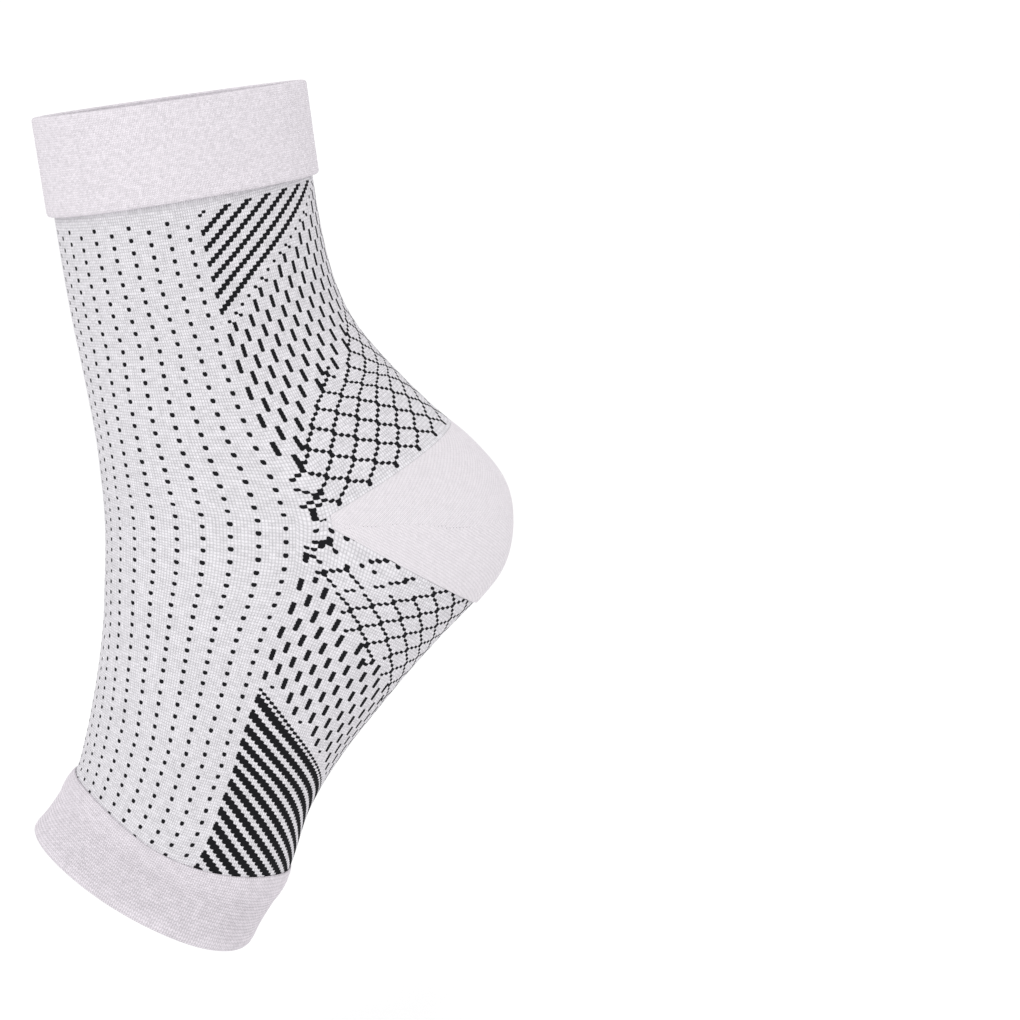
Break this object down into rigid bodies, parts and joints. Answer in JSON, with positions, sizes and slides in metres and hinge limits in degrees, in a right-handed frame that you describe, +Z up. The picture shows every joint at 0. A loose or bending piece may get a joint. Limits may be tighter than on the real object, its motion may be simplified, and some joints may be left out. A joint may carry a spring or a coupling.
{
  "type": "compression sock",
  "caption": "Open-toe knitted compression sock for the ankle and instep, with a welted cuff, a closed heel pocket and a ribbed toe band, shaped as worn.",
  "frame": {"origin": "middle of the ankle, inside the sock, 45 mm behind the bend of the instep and level with the back of the heel", "axes": "+Z up toward the leg opening, +X toward the back of the heel, +Y across the ankle; the sock is symmetric about Y = 0"},
  "size_m": [0.1414, 0.0862, 0.2468],
  "materials": {
    "cuff_knit": "matte fine knit, off-white",
    "body_knit": "matte single knit, off-white with black plated stitches",
    "heel_knit": "matte fine knit, off-white",
    "band_rib": "matte fine rib, off-white"
  },
  "bodies": {
    "root": {"top_cuff": "cuff_knit", "knit_body": "body_knit", "heel_pocket": "heel_knit", "toe_band": "band_rib"}
  },
  "joints": []
}
